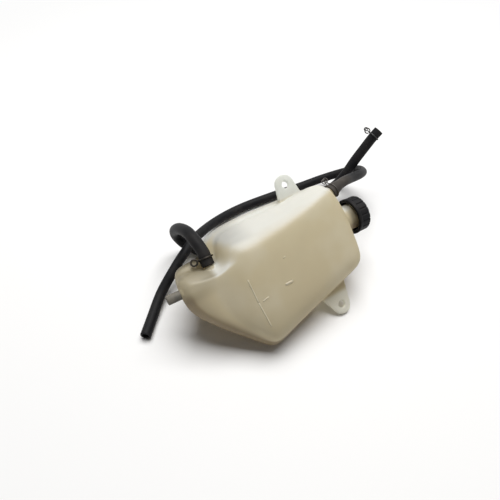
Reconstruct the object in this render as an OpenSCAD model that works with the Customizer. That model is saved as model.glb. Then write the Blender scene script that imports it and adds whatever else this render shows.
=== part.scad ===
// Coolant expansion tank with screw cap, two rubber hoses and spring wire clamps.
// It lies on a flat surface as it was put down: on the lower fixing tab and on the
// sloping side of its rear shell. Z is up, units are mm.

/* [Tank] */
// Length of the moulding from its foot to the wall under the neck
body_length = 172; // [155:1:190]
// Width of the moulding between the two tab sides
body_width = 118; // [106:1:130]
// Depth of the front half from the joint of the two mould halves
front_depth = 26; // [20:1:32]
// Depth of the rear half from the joint of the two mould halves
rear_depth = 47; // [44:1:52]
// Wall thickness of the blown shell
wall = 2.2; // [1.8:0.1:2.8]

/* [Neck and cap] */
// Outer diameter of the filler neck
neck_d = 25; // [22:0.5:28]
// Inner diameter of the filler neck
neck_bore = 19.5; // [16:0.5:20]
// Outer diameter of the screw cap
cap_d = 35.8; // [34:0.2:42]
// Height of the screw cap
cap_height = 13.2; // [12:0.2:20]
// Number of grip grooves round the cap
cap_grooves = 18; // [12:1:24]

/* [Tabs and peg] */
// Thickness of both fixing tabs
tab_thickness = 4; // [3:0.5:5]
// Hole diameter in both fixing tabs
tab_hole = 6.8; // [5:0.2:8]
// Outer diameter of the rubber sleeve on the locating peg
sleeve_d = 8.4; // [7.6:0.2:10]
// Length of the rubber sleeve
sleeve_length = 12; // [9:1:16]

/* [Hoses] */
// Outer diameter of the siphon hose
siphon_d = 11; // [10:0.5:12]
// Outer diameter of the overflow hose
overflow_d = 10; // [9:0.5:11]
// Outer diameter of the overflow hose's moulded bell end
bell_d = 16; // [12:0.5:17]
// Outer diameter of the two spigots under the hoses
spigot_d = 6.4; // [5:0.2:7]
// Diameter of the clamp wire
wire_d = 1.4; // [1:0.1:1.8]

/* [Rest] */
// Roll about the tank's own length that the tank lies at
rest_roll = 39.5; // [36:0.5:43]
// Direction on the surface that the neck points in
heading = 30.6; // [20:0.2:40]

/* [Hidden] */

rest_pitch = -0.9;
gap = 0.2;
bond = 1;
// Height of the weld between the rear shell and the front shell, from the tabs' middle plane
weld_at = -10;
k_len = body_length / 172;
k_wid = body_width / 118;

// Outlines of the moulding [length, width], clockwise from the neck side. All four have
// their points in the same order: the flat rear face, the rear bulge, the joint of the
// mould halves and the front face.
rear_face = [[-13, 26], [-11, 12], [-11, -4], [-12, -16], [-16, -23], [-27, -25], [-40, -25],
    [-60, -25], [-82, -25], [-100, -25], [-118, -25], [-130, -23], [-140, -18], [-146, -10],
    [-148, -2], [-148, 6], [-147, 11], [-144, 14], [-139, 16], [-133, 18], [-127, 22],
    [-119, 26], [-108, 28], [-88, 29], [-60, 29], [-40, 29], [-28, 29], [-18, 29]];
rear_bulge = [[-4, 30], [-1, 12], [-1, -11], [-2, -31], [-4, -42], [-16, -47], [-30, -53],
    [-56, -61], [-86, -63], [-104, -63.5], [-118, -62], [-131, -55], [-150, -36], [-166, -19],
    [-172, -8], [-173, 8], [-171, 22], [-162, 25.5], [-150, 25.5], [-141, 28], [-136, 38],
    [-124, 43], [-110, 45], [-88, 46], [-60, 46], [-34, 46], [-18, 45], [-8, 43]];
joint_line = [[-4, 30], [-1, 12], [-1, -11], [-2, -31], [-4, -42], [-16, -46], [-30, -50],
    [-56, -57], [-86, -65], [-104, -71], [-118, -75], [-130, -66], [-150, -42], [-168, -22],
    [-174, -8], [-174, 8], [-171, 17], [-160, 17], [-147, 13], [-135, 12], [-131, 24],
    [-128, 35], [-113, 38], [-88, 39.5], [-60, 40], [-34, 45], [-18, 45], [-8, 43]];
front_face = [[-13, 28], [-11, 12], [-11, -9], [-12, -27], [-16, -36], [-27, -38], [-42, -42],
    [-66, -49], [-92, -56], [-108, -60], [-121, -62], [-129, -50], [-135, -34], [-138, -20],
    [-139, -8], [-139, 0], [-138, 6], [-135, 10], [-131, 13], [-128, 15], [-126, 17],
    [-120, 18], [-108, 17], [-88, 19], [-60, 25], [-40, 30], [-28, 33], [-18, 33]];
OUTLINES = [rear_face, rear_bulge, joint_line, front_face];
CORNERS = len(rear_face);
STEPS = 2;
RING = CORNERS * STEPS;
skin_centre = [-80 * k_len, -4 * k_wid];

// Rings of the skin: [height over the joint, place between the outlines, size of the ring]
rear_edge = 3;
bulge_at = 13;
rear_wall = rear_depth - rear_edge - bulge_at;
SKIN = [
    [-rear_depth, 0, 0.05],
    [-rear_depth, 0, 0.7],
    [-rear_depth + 0.9, 0, 0.94],
    for (t = [0, 0.25, 0.5, 0.75, 1]) [-rear_depth + rear_edge + rear_wall * t, t, 1],
    [-9, 1.25, 1],
    [-5.5, 1.8, 1],
    [0, 2, 1],
    [3, 2.02, 1],
    for (t = [0.25, 0.5, 0.75, 0.92]) [3 + (front_depth - 4.5) * t, 2 + pow(t, 1.15), 1],
    [front_depth - 1.2, 3, 1],
    [front_depth - 0.3, 3, 0.93],
    [front_depth, 3, 0.8],
    [front_depth, 3, 0.05]];
CORE = [
    [-rear_depth, 0, 0.05],
    [-rear_depth, 0, 0.8],
    for (t = [0.03, 0.33, 0.66, 1]) [-rear_depth + rear_edge + rear_wall * t, t, 1],
    [-5, 1.5, 1],
    [1.5, 2, 1],
    for (t = [0.25, 0.6, 0.92]) [3 + (front_depth - 4.5) * t, 2 + pow(t, 1.15), 1],
    [front_depth - 0.6, 3, 0.97],
    [front_depth, 3, 0.8],
    [front_depth, 3, 0.05]];

function mix(a, b, t) = a + (b - a) * t;
function outline_at(k) = let (i = min(floor(k), 2), t = k - i)
    [for (j = [0:CORNERS - 1]) let (p = mix(OUTLINES[i][j], OUTLINES[i + 1][j], t))
        [p[0] * k_len, p[1] * k_wid]];
function spline_point(p, i, t) = let (n = len(p), a = p[(i + n - 1) % n], b = p[i],
        c = p[(i + 1) % n], d = p[(i + 2) % n])
    (pow(1 - t, 3) * a + (3 * pow(t, 3) - 6 * t * t + 4) * b
        + (-3 * pow(t, 3) + 3 * t * t + 3 * t + 1) * c + pow(t, 3) * d) / 6;
function smooth_ring(k) = let (p = outline_at(k))
    [for (i = [0:CORNERS - 1], s = [0:STEPS - 1]) spline_point(p, i, s / STEPS)];
function inset(q, w) = w == 0 ? q : let (n = len(q))
    [for (i = [0:n - 1]) let (d = q[(i + 1) % n] - q[(i + n - 1) % n], l = norm(d))
        q[i] + [d[1], -d[0]] * w / l];
function skin_ring(row, w) = let (q = inset(smooth_ring(row[1]), w),
        z = row[0] > 0 ? row[0] * (front_depth - w) / front_depth
                       : row[0] * (rear_depth - w) / rear_depth)
    [for (p = q) let (c = skin_centre + (p - skin_centre) * row[2]) [c[0], c[1], z]];
function skin_points(rows, w) = [for (row = rows) each skin_ring(row, w)];
function skin_faces(n, m) = concat(
    [[for (i = [m - 1:-1:0]) i]],
    [for (j = [0:n - 2], i = [0:m - 1]) let (a = j * m + i, b = j * m + (i + 1) % m)
        each [[a, b, b + m], [a, b + m, a + m]]],
    [[for (i = [0:m - 1]) (n - 1) * m + i]]);

// Neck, spigots, tabs and peg in the tank's own frame: X along the length to the neck,
// Y across to the upper tab, Z out of the front face
neck_at = 3 * k_wid;
neck_base = -7 * k_len;
neck_rise = 22;
neck_top = neck_base + neck_rise;
neck_round = 96;
cap_roof = 2;
seal_thick = 1.3;
cap_start = neck_top + seal_thick + 2 * gap + cap_roof - cap_height;
cap_top = cap_start + cap_height;
cap_skirt = 2.8;
cap_play = 2.4;
seal_low = neck_top + gap;
seal_high = seal_low + seal_thick;
cap_step = 0.4;
cap_chamfer = 1;
groove_d = 2.6;
groove_depth = 0.8;

upper_tab_out = 10.5;
upper_tab_at = [-44.5 * k_len, 45 * k_wid + upper_tab_out];
upper_tab_r = 9.8;
upper_tab_root = [38 * k_wid, -58 * k_len, -31 * k_len];
lower_tab_out = 19.5;
lower_tab_at = [-39.5 * k_len, -49.5 * k_wid - lower_tab_out];
lower_tab_r = 9.3;
lower_tab_root = [-48 * k_wid, -61 * k_len, -27 * k_len];

peg_at = [-171 * k_len, 3 * k_wid];
peg_root = 5;
peg_d = sleeve_d - 2.2;
peg_length = sleeve_length - 1;
sleeve_start = 3.2;

siphon_root = [-142 * k_len, 12 * k_wid];
siphon_turn = 90;
overflow_root = [-4 * k_len, 32 * k_wid];
overflow_turn = 15;
spigot_sunk = 6;
spigot_length = 14;
spigot_bore = spigot_d - 2.8;
hose_lift = 3.6;
overflow_lift = 3.4;
bell_length = 8;
natural = [0.86, 0.83, 0.74];

// The tank's place: rolled, turned, stood on the surface and centred over the origin
function about_x(p, a) = [p[0], p[1] * cos(a) - p[2] * sin(a), p[1] * sin(a) + p[2] * cos(a)];
function about_y(p, a) = [p[0] * cos(a) + p[2] * sin(a), p[1], -p[0] * sin(a) + p[2] * cos(a)];
function about_z(p, a) = [p[0] * cos(a) - p[1] * sin(a), p[0] * sin(a) + p[1] * cos(a), p[2]];
function turned(p) = about_z(about_y(about_x(p, rest_roll), rest_pitch), heading);
function reach(n, r) = [for (k = [0:2]) r * sqrt(max(0, 1 - n[k] * n[k]))];
function disc(c, n, r) = let (p = turned(c), e = reach(turned(n), r)) [p - e, p + e];
long_axis = [1, 0, 0];
front_axis = [0, 0, 1];
half_tab = tab_thickness / 2;
BOUNDS = concat(
    [for (p = skin_points(SKIN, 0)) turned(p)],
    disc([cap_start, neck_at, 0], long_axis, cap_d / 2),
    disc([cap_start + cap_skirt, neck_at, 0], long_axis, cap_d / 2),
    disc([cap_top - cap_chamfer, neck_at, 0], long_axis, cap_d / 2 - cap_step),
    disc([cap_top, neck_at, 0], long_axis, cap_d / 2 - cap_step - cap_chamfer),
    disc([peg_at[0] - sleeve_start - sleeve_length, peg_at[1], 0], long_axis, sleeve_d / 2),
    [for (s = [-1, 1]) each disc([upper_tab_at[0], upper_tab_at[1], s * half_tab], front_axis, upper_tab_r)],
    [for (s = [-1, 1]) each disc([lower_tab_at[0], lower_tab_at[1], s * half_tab], front_axis, lower_tab_r)]);
LOW = [for (k = [0:2]) min([for (p = BOUNDS) p[k]])];
HIGH = [for (k = [0:2]) max([for (p = BOUNDS) p[k]])];
tank_at = [-(LOW[0] + HIGH[0]) / 2, -(LOW[1] + HIGH[1]) / 2, -LOW[2]];
function placed(p) = turned(p) + tank_at;

module in_tank() {
    translate(tank_at) rotate([rest_roll, rest_pitch, heading]) children();
}

module along(at, turn) {
    translate([at[0], at[1], 0]) rotate([0, 0, turn]) rotate([0, 90, 0]) children();
}

// Hose routes. The first points follow the spigots, the others lie where the hoses were
// put down: millimetres from the point of the surface under the neck.
siphon_out = [cos(siphon_turn), sin(siphon_turn), 0];
overflow_out = [cos(overflow_turn), sin(overflow_turn), 0];
function on_spigot(root, out, x) = placed([root[0], root[1], 0] + out * x);
function laid(p) = p + [tank_at[0], tank_at[1], 0];
siphon_lie = [[-134, -53, 69], [-141, -44, 73], [-149, -32, 71], [-159, -17, 60], [-167, -3, 43],
    [-168, 4, 28], [-162, 6, 15], [-152, 5, 8], [-140, 1, 6], [-126, 5, 6], [-109, 16, 6],
    [-73, 43, 6], [-36, 68, 6], [-9, 86, 11], [10, 94, 25], [19, 97, 38], [27, 102, 51],
    [37, 108, 65], [44, 111, 76], [50, 114, 83]];
overflow_lie = [[1, 36, 74], [10, 48, 68], [24, 66, 59], [34, 87, 47], [34, 107, 35],
    [21, 119, 22], [-4, 119, 12], [-31, 111, 6], [-69, 92, 5.6], [-105, 71, 5.8], [-131, 45, 10],
    [-149, 10, 21], [-160, -16, 22], [-170, -37, 17], [-179, -55, 9], [-184, -79, 5.6],
    [-187, -99, 5.4]];
siphon_route = concat(
    [for (x = [hose_lift, 10]) on_spigot(siphon_root, siphon_out, x)],
    [for (p = siphon_lie) laid(p)]);
overflow_route = concat(
    [for (x = [overflow_lift, 12]) on_spigot(overflow_root, overflow_out, x)],
    [for (p = overflow_lie) laid(p)]);
hose_sides = 12;
hose_steps = 2;

function curve_at(p, i, t) = let (n = len(p) - 1, b = p[i], c = p[i + 1],
        a = i == 0 ? 2 * b - c : p[i - 1], d = i + 1 == n ? 2 * c - b : p[i + 2])
    0.5 * (2 * b + (c - a) * t + (2 * a - 5 * b + 4 * c - d) * t * t
        + (3 * b - a - 3 * c + d) * t * t * t);
function hose_line(p) = concat(
    [for (i = [0:len(p) - 2], s = [0:hose_steps - 1]) curve_at(p, i, s / hose_steps)],
    [p[len(p) - 1]]);
function unit(v) = v / norm(v);
function hose_heading(q, i) = let (n = len(q) - 1) unit(q[min(i + 1, n)] - q[max(i - 1, 0)]);
function square_to(v, t) = unit(v - t * (v * t));
function hose_normals(q, i, last) = i >= len(q) ? []
    : let (now = square_to(last, hose_heading(q, i))) concat([now], hose_normals(q, i + 1, now));
function hose_skin(q, d) = let (up = hose_normals(q, 0, [0.2, 0.1, 1]))
    [for (i = [0:len(q) - 1]) let (t = hose_heading(q, i), u = up[i], v = cross(t, u))
        for (k = [0:hose_sides - 1]) let (a = -360 * k / hose_sides)
            q[i] + (u * cos(a) + v * sin(a)) * d / 2];

module hose(route, d) {
    q = hose_line(route);
    polyhedron(hose_skin(q, d), skin_faces(len(q), hose_sides), convexity = 8);
}

module spigot(at, turn) {
    along(at, turn) translate([0, 0, -spigot_sunk]) {
        cylinder(h = spigot_sunk + spigot_length, d = spigot_d, $fn = 40);
        cylinder(h = spigot_sunk + hose_lift / 2, d = spigot_d + 4, $fn = 40);
    }
}

module spigot_hole(at, turn) {
    along(at, turn) translate([0, 0, -spigot_sunk - 6])
        cylinder(h = spigot_sunk + spigot_length + 8, d = spigot_bore, $fn = 32);
}

// The spigot's room in a hose end
module hose_socket(at, turn) {
    in_tank() along(at, turn) translate([0, 0, -2])
        cylinder(h = spigot_length + 2.4, d = spigot_d + 0.1, $fn = 40);
}

module skin() {
    polyhedron(skin_points(SKIN, 0), skin_faces(len(SKIN), RING), convexity = 6);
}

// Flat tab that grows out of the skin, with its bolt hole
module tab(at, r, root) {
    color(natural) in_tank() difference() {
        translate([0, 0, -half_tab]) {
            translate([at[0], at[1], 0]) cylinder(h = tab_thickness, r = r, $fn = 72);
            linear_extrude(tab_thickness)
                polygon([[at[0] - r * 0.99, at[1]], [at[0] + r * 0.99, at[1]], [root[2], root[0]],
                    [root[1], root[0]]]);
        }
        skin();
        translate([at[0], at[1], -tab_thickness])
            cylinder(h = 2 * tab_thickness, d = tab_hole, $fn = 48);
    }
}

// Raised lines on the front face: the low level line and short marks
level_line = [-120, -30];
level_length = 43;
line_width = 1.3;
line_height = 0.7;
level_turn = 85.5;
mark_turn = 12;
marks = [[-114.5, -28.5, 7, 1.4], [-90.5, -25, 8, 2.4], [-84, -3, 3.5, 1.6]];

module raised_bar(at, turn, length, width) {
    translate([at[0] * k_len, at[1] * k_wid, front_depth - bond])
        rotate([0, 0, turn])
            translate([-length / 2, -width / 2, 0]) cube([length, width, bond + line_height]);
}

// All that lies behind the weld
module behind_weld() {
    far = 2 * body_length;
    translate([-far, -far, weld_at - far]) cube([2 * far, 2 * far, far]);
}

// Room inside the shells, with the neck's and the spigots' bores
module hollow() {
    polyhedron(skin_points(CORE, wall), skin_faces(len(CORE), RING), convexity = 6);
    neck_hole();
    spigot_hole(siphon_root, siphon_turn);
    spigot_hole(overflow_root, overflow_turn);
}

module neck_hole() {
    along([neck_base - neck_rise / 2, neck_at], 0)
        cylinder(h = 2 * neck_rise, d = neck_bore, $fn = neck_round);
}

module tank_rear() {
    color(natural) in_tank() difference() {
        intersection() {
            skin();
            behind_weld();
        }
        hollow();
    }
}

module tank_front() {
    color(natural) in_tank() difference() {
        union() {
            skin();
            spigot(siphon_root, siphon_turn);
            spigot(overflow_root, overflow_turn);
            along(peg_at, 180) translate([0, 0, -peg_root])
                cylinder(h = peg_root + sleeve_start + peg_length, d = peg_d, $fn = 48);
            along(peg_at, 180) translate([0, 0, -peg_root])
                cylinder(h = peg_root + sleeve_start - gap / 2, d = sleeve_d + 1, $fn = 48);
            raised_bar(level_line, level_turn, level_length, line_width);
            for (m = marks) raised_bar(m, mark_turn, m[2], m[3]);
        }
        hollow();
        behind_weld();
    }
}

module filler_neck() {
    color(natural) in_tank() difference() {
        along([neck_base, neck_at], 0) cylinder(h = neck_rise, d = neck_d, $fn = neck_round);
        skin();
        neck_hole();
    }
}

module upper_tab() {
    tab(upper_tab_at, upper_tab_r, upper_tab_root);
}

module lower_tab() {
    tab(lower_tab_at, lower_tab_r, lower_tab_root);
}

module filler_cap() {
    r = cap_d / 2;
    bore = neck_d / 2 + cap_play;
    color([0.1, 0.1, 0.11]) in_tank() along([cap_start, neck_at], 0) difference() {
        rotate_extrude($fn = neck_round) polygon([[0, cap_height - cap_roof], [bore, cap_height - cap_roof],
            [bore, 0], [r, 0], [r, cap_skirt], [r - cap_step, cap_skirt],
            [r - cap_step, cap_height - cap_chamfer], [r - cap_step - cap_chamfer, cap_height],
            [0, cap_height]]);
        for (i = [0:cap_grooves - 1]) rotate([0, 0, i * 360 / cap_grooves])
            translate([r - cap_step + groove_d / 2 - groove_depth, 0, cap_skirt + 0.6])
                cylinder(h = cap_height, d = groove_d, $fn = 16);
    }
}

module cap_seal() {
    color([0.16, 0.15, 0.15]) in_tank() along([seal_low, neck_at], 0) difference() {
        cylinder(h = seal_high - seal_low, d = neck_d - 0.2, $fn = neck_round);
        translate([0, 0, -1]) cylinder(h = seal_high - seal_low + 2, d = neck_bore, $fn = neck_round);
    }
}

module peg_sleeve() {
    color([0.42, 0.41, 0.38]) in_tank() along(peg_at, 180) translate([0, 0, sleeve_start]) difference() {
        cylinder(h = sleeve_length, d = sleeve_d, $fn = 48);
        translate([0, 0, -1]) cylinder(h = sleeve_length + 2, d = peg_d + 0.1, $fn = 48);
    }
}

module siphon_hose() {
    color([0.09, 0.09, 0.1]) difference() {
        hose(siphon_route, siphon_d);
        hose_socket(siphon_root, siphon_turn);
    }
}

module overflow_hose() {
    color([0.09, 0.09, 0.1]) difference() {
        union() {
            hose(overflow_route, overflow_d);
            in_tank() along(overflow_root, overflow_turn) translate([0, 0, overflow_lift]) {
                cylinder(h = bell_length / 2, d = bell_d, $fn = 48);
                translate([0, 0, bell_length / 2])
                    cylinder(h = bell_length / 2, d1 = bell_d, d2 = overflow_d * 0.9, $fn = 48);
            }
        }
        hose_socket(overflow_root, overflow_turn);
    }
}

// Spring clamp: one turn of wire round a hose with an eye at each end to squeeze it by.
// Its local Z is along the hose, its two ears point along X.
eye_d = 5.2;
ear_apart = 3.6;
leg_length = 2.8;

module wire_ring(d) {
    rotate_extrude($fn = 40) translate([d / 2 + wire_d / 2, 0]) circle(d = wire_d, $fn = 8);
}

module wire_eye() {
    rotate([90, 0, 0]) rotate_extrude($fn = 20) translate([eye_d / 2, 0]) circle(d = wire_d, $fn = 8);
}

module spring_clamp(d) {
    start = d / 2 + wire_d / 2;
    wire_ring(d);
    for (s = [-1, 1]) translate([start - 0.8, s * ear_apart / 2, 0]) {
        rotate([0, 90, 0]) cylinder(h = leg_length, d = wire_d, $fn = 8);
        translate([leg_length + eye_d / 2 - 0.2, 0, 0]) wire_eye();
    }
}

module siphon_clamp() {
    color([0.3, 0.29, 0.28]) in_tank() along(siphon_root, siphon_turn) translate([0, 0, 10])
        rotate([0, 0, 112]) spring_clamp(siphon_d);
}

module overflow_clamp() {
    color([0.3, 0.29, 0.28]) in_tank() along(overflow_root, overflow_turn) translate([0, 0, overflow_lift + 2])
        rotate([0, 0, 90]) spring_clamp(bell_d);
}

// The clamp at the siphon hose's open end, ready for the next fitting
end_back = 8;

module siphon_end_clamp() {
    n = len(siphon_route) - 1;
    last = siphon_route[n];
    way = unit(last - siphon_route[n - 1]);
    tilt = acos(way[2]);
    turn = atan2(way[1], way[0]);
    color([0.3, 0.29, 0.28]) translate(last - way * end_back) rotate([0, tilt, turn])
        rotate([0, 0, 180 - turn]) spring_clamp(siphon_d);
}

tank_rear();
tank_front();
filler_neck();
upper_tab();
lower_tab();
filler_cap();
cap_seal();
peg_sleeve();
siphon_hose();
overflow_hose();
siphon_clamp();
siphon_end_clamp();
overflow_clamp();
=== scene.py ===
import math

import bmesh
import bpy
import numpy as np
from mathutils import Euler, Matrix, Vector
from mathutils.bvhtree import BVHTree


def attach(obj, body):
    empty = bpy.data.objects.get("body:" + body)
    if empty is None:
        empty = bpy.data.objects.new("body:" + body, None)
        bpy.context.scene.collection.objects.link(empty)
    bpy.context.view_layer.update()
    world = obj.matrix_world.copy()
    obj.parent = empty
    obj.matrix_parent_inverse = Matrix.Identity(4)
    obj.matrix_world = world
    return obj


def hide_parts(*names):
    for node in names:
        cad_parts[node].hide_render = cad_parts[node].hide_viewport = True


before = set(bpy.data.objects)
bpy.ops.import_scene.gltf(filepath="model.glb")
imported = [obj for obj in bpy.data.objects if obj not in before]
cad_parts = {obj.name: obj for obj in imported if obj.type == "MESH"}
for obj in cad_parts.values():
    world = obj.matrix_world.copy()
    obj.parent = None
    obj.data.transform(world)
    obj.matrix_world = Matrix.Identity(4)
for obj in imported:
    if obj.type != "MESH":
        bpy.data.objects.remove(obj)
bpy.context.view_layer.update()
MM = 0.001

# The tank lies rolled, a little pitched and turned. Its own frame has X along the length to
# the neck, Y across to the upper tab and Z out of the front face, in millimetres.
ROLL, PITCH, HEADING = 39.5, -0.9, 30.6
TANK_AT = Vector((70.1507, 39.9493, 52.3242))
TURN = Euler([math.radians(a) for a in (ROLL, PITCH, HEADING)], "XYZ").to_matrix()
TURN_NP = np.array(TURN)
AT_NP = np.array(TANK_AT)


def placed(points):
    """Tank frame in millimetres to the scene in metres."""
    return (np.asarray(points, float) @ TURN_NP.T + AT_NP) * MM


def tank_coords(points):
    """Scene in metres to the tank frame in millimetres."""
    return (np.asarray(points, float) / MM - AT_NP) @ TURN_NP


# Camera: the photo's view, from above and in front
CAMERA_AT = (-22.71, -247.25, 330.38)
CAMERA_DOWN = 48.0
LENS = 29.376

camera_data = bpy.data.cameras.new("camera")
camera_data.lens = LENS
camera_data.sensor_width = 36.0
camera_data.clip_start = 0.01
camera = bpy.data.objects.new("camera", camera_data)
bpy.context.collection.objects.link(camera)
camera.location = Vector(CAMERA_AT) * MM
camera.rotation_euler = (math.radians(90 - CAMERA_DOWN), 0, 0)
bpy.context.scene.camera = camera


def link(name, mesh, smooth=True):
    obj = bpy.data.objects.new(name, mesh)
    bpy.context.collection.objects.link(obj)
    if smooth:
        mesh.polygons.foreach_set("use_smooth", [True] * len(mesh.polygons))
    return obj


def grid_mesh(name, rings, close_ends=True):
    """Skin over equal closed rings of points, with a fan of one face at each end."""
    rings = np.asarray(rings, float)
    n, m = rings.shape[:2]
    verts = rings.reshape(-1, 3)
    faces = []
    for j in range(n - 1):
        for i in range(m):
            a, b = j * m + i, j * m + (i + 1) % m
            faces.append((a, b, b + m, a + m))
    if close_ends:
        faces.append(tuple(reversed(range(m))))
        faces.append(tuple(range((n - 1) * m, n * m)))
    mesh = bpy.data.meshes.new(name)
    mesh.from_pydata([tuple(v) for v in verts], [], faces)
    mesh.validate()
    mesh.update()
    return mesh


def vertex_values(obj, what):
    """The vertices' places (co) or normals (normal), one row each."""
    values = np.zeros(len(obj.data.vertices) * 3)
    obj.data.vertices.foreach_get(what, values)
    return values.reshape(-1, 3)


def set_attribute(obj, name, kind, values):
    layer = obj.data.attributes.new(name, kind, "POINT")
    key = "value" if kind == "FLOAT" else "vector"
    layer.data.foreach_set(key, np.asarray(values, np.float32).ravel())


# Hoses: the routes of part.scad, in millimetres, on smooth curves
SIPHON_D, OVERFLOW_D = 11.0, 10.0
SIPHON_ROOT, SIPHON_TURN, SIPHON_LIFT = (-142.0, 12.0), 90.0, 3.6
OVERFLOW_ROOT, OVERFLOW_TURN, OVERFLOW_LIFT = (-4.0, 32.0), 15.0, 3.4
SIPHON_LIE = [(-134, -53, 69), (-141, -44, 73), (-149, -32, 71), (-159, -17, 60), (-167, -3, 43),
              (-168, 4, 28), (-162, 6, 15), (-152, 5, 8), (-140, 1, 6), (-126, 5, 6), (-109, 16, 6),
              (-73, 43, 6), (-36, 68, 6), (-9, 86, 11), (10, 94, 25), (19, 97, 38), (27, 102, 51),
              (37, 108, 65), (44, 111, 76), (50, 114, 83)]
OVERFLOW_LIE = [(1, 36, 74), (10, 48, 68), (24, 66, 59), (34, 87, 47), (34, 107, 35),
                (21, 119, 22), (-4, 119, 12), (-31, 111, 6), (-69, 92, 5.6), (-105, 71, 5.8),
                (-131, 45, 10), (-149, 10, 21), (-160, -16, 22), (-170, -37, 17), (-179, -55, 9),
                (-184, -79, 5.6), (-187, -99, 5.4)]
ON_TANK = np.array([TANK_AT.x, TANK_AT.y, 0.0])


def on_spigot(root, turn, x):
    """Place x out along a spigot, in the scene's millimetres."""
    a = math.radians(turn)
    return placed([root[0] + x * math.cos(a), root[1] + x * math.sin(a), 0]) / MM


def route(root, turn, starts, lie):
    """Points of a hose: those on its spigot, then those where it lies, counted from under the tank."""
    points = [on_spigot(root, turn, x) for x in starts]
    points += [np.array(p, float) + ON_TANK for p in lie]
    return np.array(points)


def curve_line(p, steps):
    """Curve through the points p, as part.scad draws it, with more steps."""
    out = []
    n = len(p) - 1
    for i in range(n):
        b, c = p[i], p[i + 1]
        a = p[i - 1] if i else 2 * b - c
        d = p[i + 2] if i + 1 < n else 2 * c - b
        for s in range(steps):
            t = s / steps
            out.append(0.5 * (2 * b + (c - a) * t + (2 * a - 5 * b + 4 * c - d) * t * t
                              + (3 * b - a - 3 * c + d) * t ** 3))
    out.append(p[n])
    return np.array(out)


def distances(line):
    """The way along the line to each of its points."""
    return np.concatenate([[0], np.cumsum(np.linalg.norm(np.diff(line, axis=0), axis=1))])


def even(line, step):
    """The same line with points at equal steps, and its length."""
    s = distances(line)
    n = max(2, int(round(s[-1] / step)))
    u = np.linspace(0, s[-1], n + 1)
    return np.stack([np.interp(u, s, line[:, k]) for k in range(3)], 1), s[-1]


def frames_along(line):
    """Heading and two square directions at each point, with no twist between them."""
    t = np.gradient(line, axis=0)
    t /= np.linalg.norm(t, axis=1)[:, None]
    up = np.array([0.2, 0.1, 1.0])
    us = []
    for d in t:
        up = up - d * up.dot(d)
        up /= np.linalg.norm(up)
        us.append(up)
    us = np.array(us)
    return t, us, np.cross(t, us)


HOSE_SIDES, BORE_DEPTH = 32, 14.0


def hose_tube(name, line, radius_at, bore, skirt=0.0):
    """Hose on a line in millimetres: a skirt before its start, a bore at its free end."""
    t, u, w = frames_along(line)
    s = distances(line)
    total = s[-1]
    angles = -2 * math.pi * np.arange(HOSE_SIDES) / HOSE_SIDES

    def ring(x, r):
        k = min(int(np.searchsorted(s, x)), len(line) - 1)
        c = line[k] + t[k] * (x - s[k])
        return c + r * (np.cos(angles)[:, None] * u[k] + np.sin(angles)[:, None] * w[k])

    start, end = radius_at(-skirt), radius_at(total)
    rings = [ring(-skirt, start - 0.6), ring(0.15 - skirt, start - 0.2)]
    if skirt:
        rings += [ring(x, radius_at(x)) for x in (0.6 - skirt, 1.2 - skirt, 0.0)]
    rings += [ring(x, radius_at(x)) for x in s if 0.6 < x < total - 0.7]
    # the free end's rounded rim, then the bore
    rim = [(0.6, end), (0.2, end - 0.12), (0.0, end - 0.5), (0.0, bore + 0.45), (0.15, bore + 0.12),
           (0.5, bore)]
    rings += [ring(total - back, r) for back, r in rim]
    rings += [ring(total - back, bore) for back in np.linspace(1.5, BORE_DEPTH, 6)]
    return link(name, grid_mesh(name, np.array(rings) * MM))


CURVE_STEPS, LINE_STEP = 12, 1.6
siphon_line, siphon_length = even(curve_line(
    route(SIPHON_ROOT, SIPHON_TURN, (SIPHON_LIFT, 10), SIPHON_LIE), CURVE_STEPS), LINE_STEP)
overflow_line, overflow_length = even(curve_line(
    route(OVERFLOW_ROOT, OVERFLOW_TURN, (OVERFLOW_LIFT, 12), OVERFLOW_LIE), CURVE_STEPS), LINE_STEP)
SIPHON_SWELL, SIPHON_BORE = 0.25, 3.6
BELL_D, BELL_LENGTH, BELL_SKIRT, OVERFLOW_BORE = 16.1, 13.0, 2.6, 3.2


def siphon_radius(x):
    """The hose swells a little where it is pushed over the spigot."""
    return SIPHON_D / 2 + SIPHON_SWELL / (1 + math.exp((x - 12) / 1.2))


def overflow_radius(x):
    """The bell is a cone that runs out softly into the hose."""
    thin, wide = OVERFLOW_D / 2, BELL_D / 2
    k = min(1.0, max(0.0, (x + BELL_SKIRT) / (BELL_LENGTH + BELL_SKIRT)))
    return wide + (thin - wide) * (1 - (1 - k) ** 1.3)


siphon = hose_tube("siphon_tube", siphon_line, siphon_radius, SIPHON_BORE)
overflow = hose_tube("overflow_tube", overflow_line, overflow_radius, OVERFLOW_BORE, BELL_SKIRT)


def set_dust(obj, line, amount_at):
    """Dust on a hose by the distance along it."""
    s = distances(line)
    near = [np.argmin(((line - p) ** 2).sum(1)) for p in vertex_values(obj, "co") / MM]
    set_attribute(obj, "dusty", "FLOAT", [amount_at(x) for x in s[near]])


set_dust(siphon, siphon_line, lambda x: 0.22 * max(0.0, 1 - x / 26))
set_dust(overflow, overflow_line, lambda x: 0.8 * max(0.0, min(1.0, (34 - x) / 22)))


# Wire clamps: one bent wire each, a turn round the hose and an eye at each end
WIRE, CLAMP_APART = 1.6, 3.6
EYE_STEPS, TURN_STEPS = 22, 48


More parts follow.
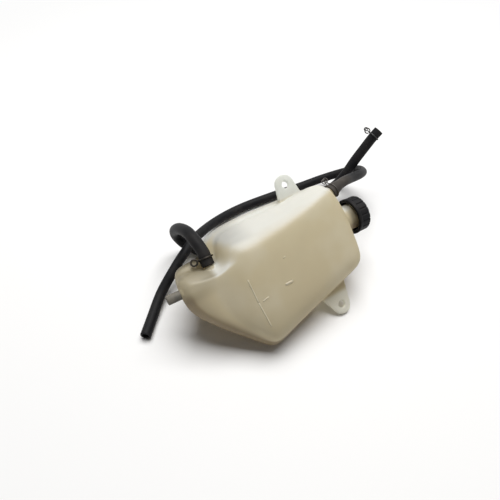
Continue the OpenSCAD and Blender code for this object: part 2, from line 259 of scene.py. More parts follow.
def wire_clamp(name, centre, along, ears, hose_d, legs=(2.0, 2.0), eyes=(5.6, 5.6), wire=WIRE):
    """centre in millimetres, along: the hose's direction, ears: where the ears point."""
    z = np.array(along, float)
    z /= np.linalg.norm(z)
    x = np.array(ears, float)
    x -= z * x.dot(z)
    x /= np.linalg.norm(x)
    y = np.cross(z, x)
    r, half_apart = hose_d / 2 + wire / 2, CLAMP_APART / 2
    open_half = math.asin(half_apart / r)

    def eye_points(which, side):
        """Eye from the leg outwards and back to the leg."""
        eye, reach = eyes[which], r + legs[which] - wire / 2
        out = []
        for k in range(EYE_STEPS + 1):
            a = math.pi + (2 * math.pi - 0.35) * k / EYE_STEPS * side
            out.append((reach + eye / 2 + eye / 2 * math.cos(a), side * half_apart, eye / 2 * math.sin(a)))
        return out

    leg = r * math.cos(open_half) + 0.4
    points = eye_points(0, -1)[::-1] + [(leg, -half_apart, 0.0)]
    for k in range(TURN_STEPS + 1):
        a = -open_half - (2 * math.pi - 2 * open_half) * k / TURN_STEPS
        points.append((r * math.cos(a), r * math.sin(a), 0.35 * (k / TURN_STEPS - 0.5)))
    points += [(leg, half_apart, 0.0)] + eye_points(1, 1)
    curve = bpy.data.curves.new(name, "CURVE")
    curve.dimensions = "3D"
    curve.bevel_depth = wire / 2 * MM
    curve.bevel_resolution = 3
    curve.use_fill_caps = True
    spline = curve.splines.new("POLY")
    spline.points.add(len(points) - 1)
    for point, (a, b, c) in zip(spline.points, points):
        point.co = (*((np.array(centre) + x * a + y * b + z * c) * MM), 1)
    bent = bpy.data.objects.new(name + "_line", curve)
    bpy.context.collection.objects.link(bent)
    mesh = bpy.data.meshes.new_from_object(bent.evaluated_get(bpy.context.evaluated_depsgraph_get()))
    bpy.data.objects.remove(bent)
    bpy.data.curves.remove(curve)
    mesh.name = name
    return link(name, mesh)


def tank_way(v):
    """Direction in the tank frame, as the scene has it."""
    return TURN_NP @ np.array(v, float)


def spigot_way(turn):
    """Direction that a spigot points in, as the scene has it."""
    a = math.radians(turn)
    return tank_way((math.cos(a), math.sin(a), 0))


EAR_TILT = math.radians(-13)
OVERFLOW_EARS, END_EARS = (-0.256, 0.956, -0.142), (-0.745, 0.522, 0.415)
SIPHON_CLAMP_UP, OVERFLOW_CLAMP_UP, END_CLAMP_BACK = 10.8, 2.0, 8.0
siphon_clamp = wire_clamp(
    "siphon_clamp_wire", on_spigot(SIPHON_ROOT, SIPHON_TURN, SIPHON_CLAMP_UP),
    spigot_way(SIPHON_TURN), tank_way((-math.cos(EAR_TILT), 0, math.sin(EAR_TILT))), SIPHON_D + 0.4)
overflow_clamp = wire_clamp(
    "overflow_clamp_wire",
    on_spigot(OVERFLOW_ROOT, OVERFLOW_TURN, OVERFLOW_LIFT + OVERFLOW_CLAMP_UP),
    spigot_way(OVERFLOW_TURN), tank_way(OVERFLOW_EARS), 2 * overflow_radius(OVERFLOW_CLAMP_UP),
    legs=(2.4, 2.4), eyes=(4.6, 4.6), wire=1.0)
end_way = siphon_line[-1] - siphon_line[-4]
end_way /= np.linalg.norm(end_way)
end_clamp = wire_clamp(
    "siphon_end_clamp_wire", siphon_line[-1] - end_way * END_CLAMP_BACK, end_way, END_EARS, SIPHON_D,
    legs=(1.0, 4.2), eyes=(5.4, 3.6), wire=1.25)

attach(siphon, "tank")
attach(overflow, "tank")
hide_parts("siphon_hose")
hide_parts("overflow_hose")
for obj, node in ((siphon_clamp, "siphon_clamp"), (end_clamp, "siphon_end_clamp"),
                  (overflow_clamp, "overflow_clamp")):
    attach(obj, "tank")
    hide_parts(node)

# Tank shell: the outlines of part.scad with a finer skin
REAR_FACE = [(-13, 26), (-11, 12), (-11, -4), (-12, -16), (-16, -23), (-27, -25), (-40, -25),
             (-60, -25), (-82, -25), (-100, -25), (-118, -25), (-130, -23), (-140, -18), (-146, -10),
             (-148, -2), (-148, 6), (-147, 11), (-144, 14), (-139, 16), (-133, 18), (-127, 22),
             (-119, 26), (-108, 28), (-88, 29), (-60, 29), (-40, 29), (-28, 29), (-18, 29)]
REAR_BULGE = [(-4, 30), (-1, 12), (-1, -11), (-2, -31), (-4, -42), (-16, -47), (-30, -53),
              (-56, -61), (-86, -63), (-104, -63.5), (-118, -62), (-131, -55), (-150, -36),
              (-166, -19), (-172, -8), (-173, 8), (-171, 22), (-162, 25.5), (-150, 25.5), (-141, 28),
              (-136, 38), (-124, 43), (-110, 45), (-88, 46), (-60, 46), (-34, 46), (-18, 45), (-8, 43)]
JOINT_LINE = [(-4, 30), (-1, 12), (-1, -11), (-2, -31), (-4, -42), (-16, -46), (-30, -50),
              (-56, -57), (-86, -65), (-104, -71), (-117, -75), (-129, -63), (-149, -43), (-169, -21),
              (-174, -8), (-174, 8), (-171, 17), (-160, 17), (-147, 13), (-135, 12), (-131, 24),
              (-128, 35), (-113, 38), (-88, 39.5), (-60, 40), (-34, 45), (-18, 45), (-8, 43)]
FOOT_EDGE = [(-6.5, 29.5), (-4, 12), (-4, -10.5), (-5, -30), (-7.5, -40.5), (-19, -44),
             (-33.5, -48), (-59, -55), (-87.5, -62.5), (-105, -68), (-118, -71), (-129, -60),
             (-148, -39.5), (-164, -20), (-168, -8), (-168, 2.5), (-165, 8), (-157, 7), (-148, 6.5),
             (-136, 7), (-130, 16), (-126, 30.5), (-111.5, 32), (-88, 34), (-60, 36), (-35.5, 41),
             (-21, 41.5), (-11, 40)]
VALLEY_LINE = [(-7.5, 29), (-5, 12), (-5, -10), (-6, -29.5), (-8.5, -39.5), (-20.5, -43),
               (-34.5, -47), (-60, -54), (-88.5, -61.5), (-105.5, -66.5), (-118, -69.5), (-127, -58),
               (-137, -45), (-144, -32), (-146, -18), (-146.5, -6), (-146, 2), (-144.5, 5), (-141, 6),
               (-134, 8), (-129, 15), (-125, 28.5), (-111, 30), (-88, 31.5), (-60, 34), (-36.5, 39),
               (-22, 40.5), (-12, 39)]
FRONT_FACE = [(-13, 28), (-11, 12), (-11, -9), (-12, -27), (-16, -36), (-27, -38), (-42, -42),
              (-66, -49), (-92, -56), (-108, -60), (-119, -62), (-124, -52), (-125, -42), (-124.5, -31),
              (-124, -20), (-124, -10), (-124, -2), (-124, 4), (-124, 9), (-123, 12), (-121.5, 14.5),
              (-117, 16), (-107, 17), (-88, 19), (-60, 25), (-40, 30), (-28, 33), (-18, 33)]
OUTLINES = [np.array(o, float) for o in
            (REAR_FACE, REAR_BULGE, JOINT_LINE, FOOT_EDGE, VALLEY_LINE, FRONT_FACE)]
SKIN_CENTRE = np.array([-80.0, -4.0])
FRONT_DEPTH, REAR_DEPTH = 26.0, 47.0


def outline_at(k):
    """Outline number k, and for numbers between them the outlines between."""
    i = min(int(k), len(OUTLINES) - 2)
    return OUTLINES[i] + (OUTLINES[i + 1] - OUTLINES[i]) * (k - i)


def smooth_ring(k, steps):
    """The outline at k as a smooth closed curve."""
    p = outline_at(k)
    a, b, c, d = np.roll(p, 1, 0), p, np.roll(p, -1, 0), np.roll(p, -2, 0)
    out = np.zeros((len(p), steps, 2))
    for s in range(steps):
        t = s / steps
        out[:, s] = ((1 - t) ** 3 * a + (3 * t ** 3 - 6 * t * t + 4) * b
                     + (-3 * t ** 3 + 3 * t * t + 3 * t + 1) * c + t ** 3 * d) / 6
    return out.reshape(-1, 2)


# heights of the foot's edge and the valley over the joint, and depth of the front face's rounded edge
FOOT_LEVEL, VALLEY_LEVEL, FRONT_EDGE = 10.0, 12.5, 1.2
FRONT_ROW_PASSES, FRONT_EDGE_PASSES = 2, 80
# height over the joint, and which outline the skin has reached there
LEVELS = np.array([(-44, 0.0), (-13, 1.0), (-9, 1.25), (-5.5, 1.8), (-2.5, 1.96), (0, 2.0), (3, 2.1),
                   (6.5, 2.5), (FOOT_LEVEL, 3.0)])
REAR_SIZES = (0.02, 0.3, 0.6, 0.85)
FRONT_SIZES = (0.92, 0.9, 0.88, 0.86, 0.83, 0.8, 0.76, 0.72, 0.6, 0.4, 0.2, 0.02)


def skin_rows():
    """Height over the joint, place between the outlines and size, from back to front."""
    rows = [(-REAR_DEPTH, 0, size) for size in REAR_SIZES]
    for a in np.linspace(0, math.pi / 2, 7):
        rows.append((-REAR_DEPTH + 3 * (1 - math.cos(a)), 0, 1 - 0.07 * (1 - math.sin(a))))
    for z in np.concatenate([np.arange(-43, -14, 1.6), np.arange(-13, FOOT_LEVEL - 0.1, 0.8)]):
        rows.append((z, float(np.interp(z, LEVELS[:, 0], LEVELS[:, 1])), 1.0))
    for t in np.linspace(0, 1, 12, False):
        rows.append((FOOT_LEVEL + (VALLEY_LEVEL - FOOT_LEVEL) * t, 3 + t, 1.0))
    edge = FRONT_DEPTH - FRONT_EDGE
    for t in np.linspace(0, 1, 11, False):
        rows.append((VALLEY_LEVEL + (edge - VALLEY_LEVEL) * t, 4 + t, 1.0))
    for t in np.linspace(0, 1, 4):
        rows.append((FRONT_DEPTH - FRONT_EDGE * (1 - t) ** 2, 5, 1 - 0.06 * t))
    return rows + [(FRONT_DEPTH, 5, size) for size in FRONT_SIZES]


def shell_skin():
    rows = skin_rows()
    rings = []
    for z, k, size in rows:
        q = SKIN_CENTRE + (smooth_ring(k, 6) - SKIN_CENTRE) * size
        rings.append(np.column_stack([q, np.full(len(q), z)]))
    rings = np.array(rings)

    def soften(first, left_out, passes):
        """Even out the rows from first on, but for those left out at the front."""
        for _ in range(passes):
            rings[first:-left_out] = (rings[first - 1:-left_out - 1] + 2 * rings[first:-left_out]
                                      + rings[first + 1:1 - left_out]) / 4

    # the foot's edge and the valley, then the ridge round the front face
    soften(next(i for i, row in enumerate(rows) if row[0] > 1.0), 2, FRONT_ROW_PASSES)
    soften(next(i for i, row in enumerate(rows) if row[1] > 4.5), 3, FRONT_EDGE_PASSES)
    return grid_mesh("skin", placed(rings))


def turned_solid(name, start, turn, profile, sides=64):
    """Solid of revolution in the tank frame: profile of (distance along, radius)."""
    a = math.radians(turn)
    way = np.array([math.cos(a), math.sin(a), 0.0])
    side = np.array([-math.sin(a), math.cos(a), 0.0])
    up = np.array([0, 0, 1.0])
    angles = -2 * math.pi * np.arange(sides) / sides
    rings = []
    for x, r in profile:
        c = np.array([start[0], start[1], 0.0]) + way * x
        rings.append(c + r * (np.cos(angles)[:, None] * side + np.sin(angles)[:, None] * up))
    rings = np.array(rings)
    return grid_mesh(name, placed(rings)[::-1])


# Fixing tabs: place of the hole, radius of the tip, ends of the base
UPPER_TAB, UPPER_R, UPPER_BASE = (-44.5, 55.5), 9.8, [(-58, 38), (-31, 38)]
LOWER_TAB, LOWER_R, LOWER_BASE = (-39.5, -69.0), 9.3, [(-61, -48), (-27, -48)]
TAB_HOLE_R, TAB_THICKNESS = 3.4, 4.0
TAB_SIDES = 96


def ray_length(d, q, b):
    """How far the ray d from the origin runs until it meets the line from q to b, 0 if it doesn't."""
    e = b - q
    den = d[0] * e[1] - d[1] * e[0]
    if abs(den) < 1e-9:
        return 0.0
    t = (q[0] * e[1] - q[1] * e[0]) / den
    u = (q[0] * d[1] - q[1] * d[0]) / den
    return t if 0 <= u <= 1 else 0.0


def tab_plate(name, centre, r, base):
    """Flat tab with a round tip and a hole: the hull of the tip's circle and the base's two ends."""
    c = np.array(centre, float)
    turns = np.linspace(0, 2 * math.pi, TAB_SIDES, False)
    circle = r * np.column_stack([np.cos(turns), np.sin(turns)])
    ends = np.array(base, float) - c
    ways = np.column_stack([np.cos(-turns), np.sin(-turns)])
    edges = [(q, b) for b in ends for q in circle] + [(ends[0], ends[1])]
    outer = np.array([c + d * max([r] + [ray_length(d, q, b) for q, b in edges]) for d in ways])
    inner = c + TAB_HOLE_R * ways
    low, high = (np.full(TAB_SIDES, z) for z in (-TAB_THICKNESS / 2, TAB_THICKNESS / 2))
    rings = [np.column_stack(ring) for ring in
             ((inner, low), (outer, low), (outer, high), (inner, high), (inner, low))]
    mesh = grid_mesh(name, placed(np.array(rings))[::-1], close_ends=False)
    bm = bmesh.new()
    bm.from_mesh(mesh)
    bmesh.ops.remove_doubles(bm, verts=bm.verts, dist=1e-6)
    bm.to_mesh(mesh)
    bm.free()
    return mesh


# Neck, peg and spigots
NECK_SIDE, NECK_R, NECK_LENGTH = 3.0, 12.5, 24.1
PEG_AT, PEG_TURN = (-171, NECK_SIDE), 180
STUB_LENGTH = 14


def stub(name, root, turn, sunk, boss_r, boss_end, pin_r):
    """Boss on the skin with a pin that reaches into the hose or sleeve on it."""
    return turned_solid(name, root, turn, [
        (-sunk, 0.3), (-sunk, boss_r), (boss_end, boss_r), (boss_end, pin_r), (STUB_LENGTH, pin_r),
        (STUB_LENGTH, 0.3)], 40)


parts = [
    shell_skin(),
    turned_solid("neck", (-9.0, NECK_SIDE), 0, [
        (0, 0.5), (0, NECK_R), (NECK_LENGTH - 0.5, NECK_R), (NECK_LENGTH, NECK_R - 0.4),
        (NECK_LENGTH, 0.5)]),
    stub("siphon_base", SIPHON_ROOT, SIPHON_TURN, 6, 4.4, 3.0, 3.2),
    stub("overflow_base", OVERFLOW_ROOT, OVERFLOW_TURN, 6, 6.4, 2.4, 3.2),
    stub("peg_root", PEG_AT, PEG_TURN, 5, 4.7, 3.1, 3.0),
    tab_plate("upper_tab", UPPER_TAB, UPPER_R, UPPER_BASE),
    tab_plate("lower_tab", LOWER_TAB, LOWER_R, LOWER_BASE),
]


def fused(name, meshes, voxel, passes):
    """One mesh from several closed ones, remeshed and softened where they meet."""
    bm = bmesh.new()
    for mesh in meshes:
        bm.from_mesh(mesh)
    mesh = bpy.data.meshes.new(name)
    bm.to_mesh(mesh)
    bm.free()
    obj = link(name, mesh)
    remesh = obj.modifiers.new("remesh", "REMESH")
    remesh.mode = "VOXEL"
    remesh.voxel_size = voxel
    soften = obj.modifiers.new("soften", "SMOOTH")
    soften.factor = 0.5
    soften.iterations = passes
    done = bpy.data.meshes.new_from_object(obj.evaluated_get(bpy.context.evaluated_depsgraph_get()))
    obj.modifiers.clear()
    obj.data = done
    done.name = name
    done.polygons.foreach_set("use_smooth", [True] * len(done.polygons))
    bpy.data.meshes.remove(mesh)
    return obj


SHELL_VOXEL, SHELL_PASSES = 0.95 * MM, 4
LOWEST = 0.05 * MM
shell = fused("tank_shell", parts, SHELL_VOXEL, SHELL_PASSES)
# nothing of the shell reaches into the surface that it lies on
places = vertex_values(shell, "co")
places[:, 2] = np.maximum(places[:, 2], LOWEST)
shell.data.vertices.foreach_set("co", places.ravel())
shell.data.update()


def rise(x, low, high):
    """0 below low, 1 above high, smooth between."""
    t = np.clip((x - low) / (high - low), 0, 1)
    return t * t * (3 - 2 * t)


def shell_painted_light_and_thinness(points, normals):
    """Painted light and shade as a tone (0 shaded brown, 0.5 the plastic's beige, 1 lit nearly white) and
    a painted brightness, and how thin the wall looks.

    points and normals are in the tank frame.
    """
    u, v, n = points.T
    # where the surface is: the side that lies up, the foot, the recess at the siphon hose,
    # the slanted lower side, the neck and the two tabs
    up = rise(normals[:, 1], 0.25, 0.8)
    foot = rise(-u, 124, 134) * rise(-n, -14, -11)
    recess = rise(-u, 116, 124) * rise(u, -146, -138) * rise(v, 2, 7)
    slant = rise(-n, -13, -9.5) * rise(-v, -3, 6)
    neck = rise(u, -3, 3)
    upper = rise(v, 41, 46) * rise(-u, 25, 30)
    lower = rise(-v, 54, 60) * rise(u, -66, -58)
    # painted light: the side that lies up, towards the softbox, is painted nearly white; on the foot only
    # the recess at the siphon hose keeps it
    tone_with_painted_light = 0.5 + 0.5 * up * (1 - foot * (1 - recess))
    # painted shade: the slanted lower side is painted brown where it turns left and down, away from the
    # light
    tone_with_painted_light -= 0.46 * slant * rise(-normals[:, 0] - 0.6 * normals[:, 1], -0.2, 0.6)
    tone_with_painted_light -= 0.2 * slant * rise(-normals[:, 1], 0.4, 1.0)
    tone_with_painted_light += 0.08 * rise(u, -90, -30) * rise(n, 20, 25)
    # painted shade on the neck under the cap and the overflow hose, in its tone here and its brightness
    # below
    tone_with_painted_light -= 0.15 * neck
    # painted light on the two tabs: the upper one nearly white, the lower one pale
    tone_with_painted_light += (1.0 - tone_with_painted_light) * upper
    tone_with_painted_light += (0.86 - tone_with_painted_light) * lower
    # painted brightness, 1 where nothing is painted: painted shade on the neck, on the foot but for its
    # recess, at the left end of the side that lies up, on the slanted lower side towards its lower left,
    # and darker towards the bottom but for the lower tab; the upper tab a little darker
    painted_brightness = 1 - 0.52 * neck
    painted_brightness -= 0.42 * foot * np.maximum(up, 0.5) * (1 - recess) * rise(-u, 130, 142) * rise(v, -12, 0)
    painted_brightness -= 0.34 * up * rise(-u, 92, 122) * rise(v, 20, 26)
    painted_brightness -= 0.3 * slant * rise(-u - v, 120, 190) + 0.02 * slant
    painted_brightness -= 0.11 * upper + 0.07 * rise(-v, 28, 52) * (1 - lower)
    thin = np.maximum(upper, 0.3 * lower)
    return np.column_stack([np.clip(tone_with_painted_light, 0, 1), np.clip(painted_brightness, 0, 1), thin])


def set_looks(obj, looks_of):
    """Store places in the tank frame and looks (the painted tone and brightness, and how thin the wall
    looks), which the shell's material reads.
    """
    local = tank_coords(vertex_values(obj, "co"))
    set_attribute(obj, "tank_mm", "FLOAT_VECTOR", local)
    set_attribute(obj, "look", "FLOAT_VECTOR", looks_of(local))


set_looks(shell, lambda local: shell_painted_light_and_thinness(local, vertex_values(shell, "normal") @ TURN_NP))

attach(shell, "tank")
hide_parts("tank_rear", "tank_front", "filler_neck", "upper_tab", "lower_tab")


# Raised level line and marks, laid on the front face
# the raised marks are painted a little paler than the beige, as painted light where they catch it
MARK_LOOK_PAINTED_PALER = (0.62, 1.0, 0.0)
BAR_STEP = 1.2
# place across the bar's width, and height
BAR_PROFILE = [(-0.5, -0.5), (-0.5, 0.0), (-0.36, 0.72), (-0.12, 1.0), (0.12, 1.0), (0.36, 0.72),
               (0.5, 0.0), (0.5, -0.5)]


def surface_bar(name, start, end, width, height):
    tree = BVHTree.FromObject(shell, bpy.context.evaluated_depsgraph_get())
    out = Vector(tank_way((0, 0, 1)))
    a, b = np.array(start, float), np.array(end, float)
    d = (b - a) / np.linalg.norm(b - a)
    side = np.array([-d[1], d[0]])
    n = max(4, int(np.linalg.norm(b - a) / BAR_STEP))
    rings = []
    for k in range(n + 1):
        q = a + (b - a) * k / n
        # the ends are lower and narrower
        fade = min(1.0, min(k, n - k) / 1.2 + 0.15)
        ring = []
        for x, h in BAR_PROFILE:
            p = q + side * x * width * (0.6 + 0.4 * fade)
            hit = tree.ray_cast(Vector(placed((p[0], p[1], 60))), -out)[0]
            base = tank_coords(hit)[2] if hit else FRONT_DEPTH
            ring.append((p[0], p[1], base + h * height * fade))
        rings.append(ring)
    obj = link(name, grid_mesh(name, placed(np.array(rings))[::-1]))
    set_looks(obj, lambda local: np.tile(MARK_LOOK_PAINTED_PALER, (len(local), 1)))
    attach(obj, "tank")
    return obj


bars = [
    surface_bar("level_line_high", (-122.4, -7.6), (-121.7, -28.8), 1.3, 0.6),
    surface_bar("level_line_low", (-121.7, -28.8), (-119.4, -51.3), 1.3, 0.6),
    surface_bar("level_mark_low", (-118.2, -29.3), (-111.6, -27.7), 1.3, 0.5),
    surface_bar("level_mark_high", (-94.4, -25.0), (-86.3, -24.7), 2.4, 0.7),
    surface_bar("level_mark_top", (-86.5, -3.8), (-83.5, -3.2), 1.6, 0.4),
]

# Screw cap: ribbed body over a plain collar, with ridges inside in place of the thread
CAP_START, CAP_HEIGHT, CAP_R = 5.6, 13.2, 17.9
CAP_BORE, CAP_ROOF = 14.9, 2.0
GROOVES, GROOVE_STEPS, GROOVE_DEPTH = 18, 20, 0.85
THREAD_PITCH, THREAD_DEPTH = 4.0, 1.1
THREAD_START, THREAD_STEP, THREAD_ROWS = 1.0, 0.36, 26


def cap_mesh():
    sides = GROOVES * GROOVE_STEPS
    angles = 2 * math.pi * np.arange(sides) / sides
    wave = np.abs(((np.arange(sides) % GROOVE_STEPS) / GROOVE_STEPS) - 0.5) * 2
    # 1 in the middle of a groove, 0 on a rib
    groove = rise(wave, 0.70, 0.92)
    body, bore, inside = CAP_R - 0.4, CAP_BORE, CAP_HEIGHT - CAP_ROOF
    # distance from the collar's rim, radius and share of the grooves' depth
    profile = [(CAP_HEIGHT, 0.3, 0), (CAP_HEIGHT, 6, 0), (CAP_HEIGHT, 12, 0),
               (CAP_HEIGHT - 0.02, 15.6, 0.05), (CAP_HEIGHT - 0.15, body - 0.9, 0.5),
               (CAP_HEIGHT - 0.5, body - 0.35, 0.9), (CAP_HEIGHT - 1.1, body - 0.05, 1),
               (CAP_HEIGHT - 1.8, body, 1), (8, body, 1), (5, body, 1), (3.9, body, 1),
               (3.45, body, 0.7), (3.2, body, 0), (2.95, body + 0.1, 0), (2.75, CAP_R - 0.08, 0),
               (2.4, CAP_R, 0), (1, CAP_R, 0), (0.35, CAP_R - 0.05, 0), (0.08, CAP_R - 0.3, 0),
               (0, CAP_R - 0.7, 0), (0, bore + 0.5, 0), (0.15, bore + 0.12, 0), (0.5, bore, 0)]
    # plain ridges round the bore, at the thread's pitch
    for k in range(THREAD_ROWS):
        x = THREAD_START + k * THREAD_STEP
        ridge = max(0.0, math.cos(2 * math.pi * x / THREAD_PITCH)) ** 2
        profile.append((x, bore - THREAD_DEPTH * ridge, 0))
    profile += [(inside, bore, 0), (inside, 6, 0), (inside, 0.3, 0)]
    rings = []
    for x, r, share in profile:
        radii = r - GROOVE_DEPTH * groove * share
        rings.append(np.column_stack([np.full(sides, CAP_START + x), NECK_SIDE + radii * np.cos(angles),
                                      radii * np.sin(angles)]))
    return grid_mesh("cap", placed(np.array(rings)))


cap = link("ribbed_cap", cap_mesh())
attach(cap, "cap")
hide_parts("filler_cap")

# Rubber sleeve on the peg, as distance from the peg's root and radius
SLEEVE_SKIN = [(4, 3.1), (3.35, 3.1), (3.2, 3.4), (3.2, 3.9), (3.4, 4.15), (3.8, 4.2), (7, 4.2), (11, 4.2),
               (14.3, 4.2), (14.8, 4.12), (15.12, 3.85), (15.2, 3.5), (15.2, 3.25), (15.05, 3.05),
               (14.6, 3.02), (13.9, 3.02), (13.9, 0.2)]
sleeve = link("peg_rubber", turned_solid("peg_rubber", PEG_AT, PEG_TURN, SLEEVE_SKIN, 48))
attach(sleeve, "tank")
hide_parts("peg_sleeve")


# Materials


def new_material(name):
    mat = bpy.data.materials.new(name)
    mat.use_nodes = True
    tree = mat.node_tree
    tree.nodes.clear()
    return mat, tree


def add(tree, kind, **values):
    """New node. The values are its settings, or the numbers of its sockets."""
    node = tree.nodes.new(kind)
    for key, value in values.items():
        if key in node.inputs:
            node.inputs[key].default_value = value
        else:
            setattr(node, key, value)
    return node


def noise(tree, place, scale, detail):
    node = add(tree, "ShaderNodeTexNoise", Scale=scale, Detail=detail)
    tree.links.new(place, node.inputs["Vector"])
    return node.outputs["Fac"]


def mapped(tree, value, low, high, start=0.0, end=1.0, kind="LINEAR"):
    """low where value is at start, high where it is at end."""
    node = add(tree, "ShaderNodeMapRange", interpolation_type=kind)
    for key, number in (("From Min", start), ("From Max", end), ("To Min", low), ("To Max", high)):
        node.inputs[key].default_value = number
    tree.links.new(value, node.inputs["Value"])
    return node.outputs[0]


def reckoned(tree, operation, *values, clamp=False):
    """Math node on sockets or numbers."""
    node = add(tree, "ShaderNodeMath", operation=operation, use_clamp=clamp)
    for socket, value in zip(node.inputs, values):
        if isinstance(value, float):
            socket.default_value = value
        else:
            tree.links.new(value, socket)
    return node.outputs[0]


def bumped(tree, height, strength, distance):
    node = add(tree, "ShaderNodeBump", Strength=strength, Distance=distance)
    tree.links.new(height, node.inputs["Height"])
    return node


def mixed_shaders(tree, share, first, second):
    node = add(tree, "ShaderNodeMixShader")
    for socket, value in zip(node.inputs, (share, first, second)):
        tree.links.new(value, socket)
    return node.outputs[0]


def to_surface(tree, shader):
    tree.links.new(shader, add(tree, "ShaderNodeOutputMaterial").inputs["Surface"])


def dusty_black(name, base, rough, dust=0.25, dust_colour=(0.16, 0.14, 0.12), gloss=0.3, metal=0.0):
    """Dark rubber, plastic or wire with dust in patches, and where the dusty attribute has it."""
    mat, tree = new_material(name)
    skin = add(tree, "ShaderNodeBsdfPrincipled")
    skin.inputs["Specular IOR Level"].default_value = gloss
    skin.inputs["Metallic"].default_value = metal
    place = add(tree, "ShaderNodeTexCoord").outputs["Object"]
    clouds = noise(tree, place, 90, 6)
    patches = add(tree, "ShaderNodeValToRGB")
    patches.color_ramp.elements[0].position = 0.45
    patches.color_ramp.elements[1].position = 0.78
    tree.links.new(clouds, patches.inputs["Fac"])
    everywhere = reckoned(tree, "MULTIPLY", patches.outputs["Color"], dust)
    dusty = add(tree, "ShaderNodeAttribute", attribute_name="dusty")
    laid = reckoned(tree, "MULTIPLY", dusty.outputs["Fac"], mapped(tree, clouds, 0.2, 0.6))
    mix = add(tree, "ShaderNodeMix", data_type="RGBA")
    tree.links.new(reckoned(tree, "ADD", everywhere, laid, clamp=True), mix.inputs[0])
    mix.inputs[6].default_value = (*base, 1)
    mix.inputs[7].default_value = (*dust_colour, 1)
    tree.links.new(mix.outputs[2], skin.inputs["Base Color"])
    bump = bumped(tree, noise(tree, place, 900, 3), 0.12, 0.0003)
    tree.links.new(bump.outputs[0], skin.inputs["Normal"])
    tree.links.new(mapped(tree, clouds, rough - 0.06, rough + 0.16), skin.inputs["Roughness"])
    to_surface(tree, skin.outputs[0])
    return mat


# the aged plastic's beige between a brown for painted shade and a pale for painted light, and how much of
# its light comes through the wall and through the tabs
SHELL_SHADED_BROWN, SHELL_BEIGE, SHELL_LIT_PALE = (0.50, 0.40, 0.26), (0.655, 0.58, 0.40), (0.92, 0.93, 0.89)
SHELL_GLOW, TAB_GLOW = 0.42, 0.62


def shell_material():
    mat, tree = new_material("aged_polyethylene_with_painted_light")
    place = add(tree, "ShaderNodeAttribute", attribute_name="tank_mm").outputs["Vector"]
    look = add(tree, "ShaderNodeAttribute", attribute_name="look")
    parts_of_look = add(tree, "ShaderNodeSeparateXYZ")
    tree.links.new(look.outputs["Vector"], parts_of_look.inputs[0])
    tone_with_painted_light, painted_brightness, thin = parts_of_look.outputs
    mottle = mapped(tree, noise(tree, place, 0.018, 3), -0.07, 0.07, 0.35, 0.65)
    # the tone runs from the shaded brown, painted shade, through the beige to the lit pale, painted light
    ramp = add(tree, "ShaderNodeValToRGB")
    stops = ramp.color_ramp.elements
    stops[0].position, stops[0].color = 0.0, (*SHELL_SHADED_BROWN, 1)
    stops[1].position, stops[1].color = 1.0, (*SHELL_LIT_PALE, 1)
    stops.new(0.5).color = (*SHELL_BEIGE, 1)
    tree.links.new(reckoned(tree, "ADD", tone_with_painted_light, mottle), ramp.inputs["Fac"])
    # painted shade: the colour is scaled by the painted brightness
    colour = add(tree, "ShaderNodeVectorMath", operation="SCALE")
    tree.links.new(ramp.outputs[0], colour.inputs[0])
    tree.links.new(painted_brightness, colour.inputs["Scale"])
    # the weld of the two halves is a fine ridge at the joint's level
    split = add(tree, "ShaderNodeSeparateXYZ")
    tree.links.new(place, split.inputs[0])
    off_joint = reckoned(tree, "ABSOLUTE", split.outputs["Z"])
    ridge = bumped(tree, mapped(tree, off_joint, 1.0, 0.0, 0.0, 0.9, "SMOOTHSTEP"), 0.6, 0.0005)
    grain = bumped(tree, noise(tree, place, 1.1, 4), 0.08, 0.0004)
    tree.links.new(ridge.outputs[0], grain.inputs["Normal"])
    skin = add(tree, "ShaderNodeBsdfPrincipled")
    skin.inputs["Roughness"].default_value = 0.42
    skin.inputs["IOR"].default_value = 1.5
    tree.links.new(colour.outputs[0], skin.inputs["Base Color"])
    through = add(tree, "ShaderNodeBsdfTranslucent")
    tree.links.new(colour.outputs[0], through.inputs["Color"])
    for shader in (skin, through):
        tree.links.new(grain.outputs[0], shader.inputs["Normal"])
    glow = mapped(tree, thin, SHELL_GLOW, TAB_GLOW)
    to_surface(tree, mixed_shaders(tree, glow, skin.outputs[0], through.outputs[0]))
    return mat


def wire_material(name, base):
    return dusty_black(name, base, rough=0.34, dust=0.3, dust_colour=(0.16, 0.13, 0.10), metal=0.7)


def dress(obj, mat):
    obj.data.materials.clear()
    obj.data.materials.append(mat)


shell_mat = shell_material()
for obj in (shell, *bars):
    dress(obj, shell_mat)
hose_mat = dusty_black("black_hose", (0.009, 0.009, 0.010), rough=0.5, dust=0.08, gloss=0.1)
for obj in (siphon, overflow):
    dress(obj, hose_mat)
dress(cap, dusty_black("black_cap", (0.007, 0.007, 0.008), rough=0.44, dust=0.07, gloss=0.1))
dress(sleeve, dusty_black("grey_sleeve", (0.10, 0.095, 0.08), rough=0.55, dust=0.7,
                          dust_colour=(0.26, 0.23, 0.18)))
dress(siphon_clamp, wire_material("dark_wire", (0.018, 0.016, 0.014)))
dress(end_clamp, wire_material("grey_wire", (0.045, 0.045, 0.045)))
dress(overflow_clamp, wire_material("dusty_wire", (0.07, 0.065, 0.06)))
seal_mat = dusty_black("seal_rubber", (0.02, 0.02, 0.02), rough=0.6)
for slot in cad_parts["cap_seal"].material_slots:
    slot.material = seal_mat


# Floor and light


def shown_rays(tree):
    """1 for the rays that show a surface to the camera, in gloss or through glass too."""
    rays = add(tree, "ShaderNodeLightPath").outputs
    camera_or_gloss = reckoned(tree, "MAXIMUM", rays["Is Camera Ray"], rays["Is Glossy Ray"])
    return reckoned(tree, "MAXIMUM", camera_or_gloss, rays["Is Transmission Ray"])


FLOOR_HALF = 3.0
FLOOR_COLOUR, FLOOR_SEEN = (0.9, 0.9, 0.9), (0.88, 0.875, 0.867)
FLOOR_NEAR, FLOOR_FAR = 0.5, 1.3


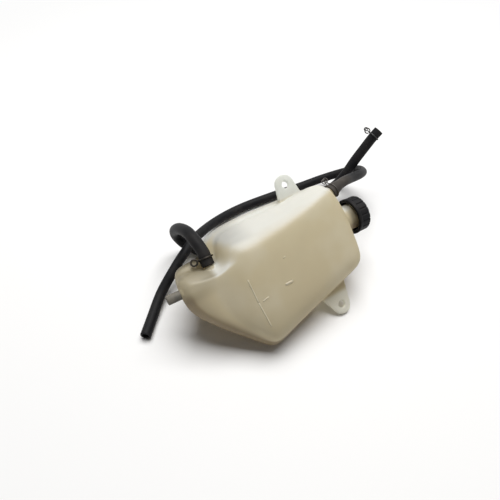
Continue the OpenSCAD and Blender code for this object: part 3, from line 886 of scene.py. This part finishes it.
def floor_material():
    """Matt for the rays that show it, and far from the tank it runs out into plain white."""
    mat, tree = new_material("pale_floor")
    lit = add(tree, "ShaderNodeBsdfPrincipled")
    lit.inputs["Base Color"].default_value = (*FLOOR_COLOUR, 1)
    lit.inputs["Roughness"].default_value = 0.55
    seen = add(tree, "ShaderNodeBsdfDiffuse")
    seen.inputs["Color"].default_value = (*FLOOR_SEEN, 1)
    white = add(tree, "ShaderNodeEmission")
    away = add(tree, "ShaderNodeVectorMath", operation="LENGTH")
    tree.links.new(add(tree, "ShaderNodeTexCoord").outputs["Object"], away.inputs[0])
    fade = mapped(tree, away.outputs["Value"], 0.0, 1.0, FLOOR_NEAR, FLOOR_FAR, "SMOOTHSTEP")
    backdrop = mixed_shaders(tree, fade, seen.outputs[0], white.outputs[0])
    to_surface(tree, mixed_shaders(tree, shown_rays(tree), lit.outputs[0], backdrop))
    return mat


floor_corners = [(x * FLOOR_HALF, y * FLOOR_HALF, 0) for x, y in ((-1, -1), (1, -1), (1, 1), (-1, 1))]
floor_mesh = bpy.data.meshes.new("floor")
floor_mesh.from_pydata(floor_corners, [], [(0, 1, 2, 3)])
floor = link("floor", floor_mesh, smooth=False)
dress(floor, floor_material())

# the world lights softly, and is white where it is seen
WORLD_LIGHT = 0.1
world = bpy.data.worlds.new("world")
bpy.context.scene.world = world
world.use_nodes = True
background = world.node_tree.nodes["Background"]
background.inputs["Color"].default_value = (1, 1, 1, 1)
world.node_tree.links.new(mapped(world.node_tree, shown_rays(world.node_tree), WORLD_LIGHT, 1.0),
                          background.inputs["Strength"])

# one wide softbox, behind and above the tank
KEY_HEIGHT, KEY_AWAY, KEY_SIDE = math.radians(74), 2.0, 0.1
KEY_AIM, KEY_SIZE, KEY_POWER = Vector((0, 0, 0.03)), (1.7, 1.3), 53
key_data = bpy.data.lights.new("key_softbox", "AREA")
key_data.shape = "RECTANGLE"
key_data.size, key_data.size_y = KEY_SIZE
key_data.energy = KEY_POWER
key = bpy.data.objects.new("key_softbox", key_data)
bpy.context.collection.objects.link(key)
key.location = (KEY_SIDE, KEY_AWAY * math.cos(KEY_HEIGHT), KEY_AWAY * math.sin(KEY_HEIGHT))
key.rotation_euler = (KEY_AIM - key.location).to_track_quat("-Z", "Y").to_euler()

bpy.context.scene.view_settings.view_transform = "Standard"

bpy.context.view_layer.update()
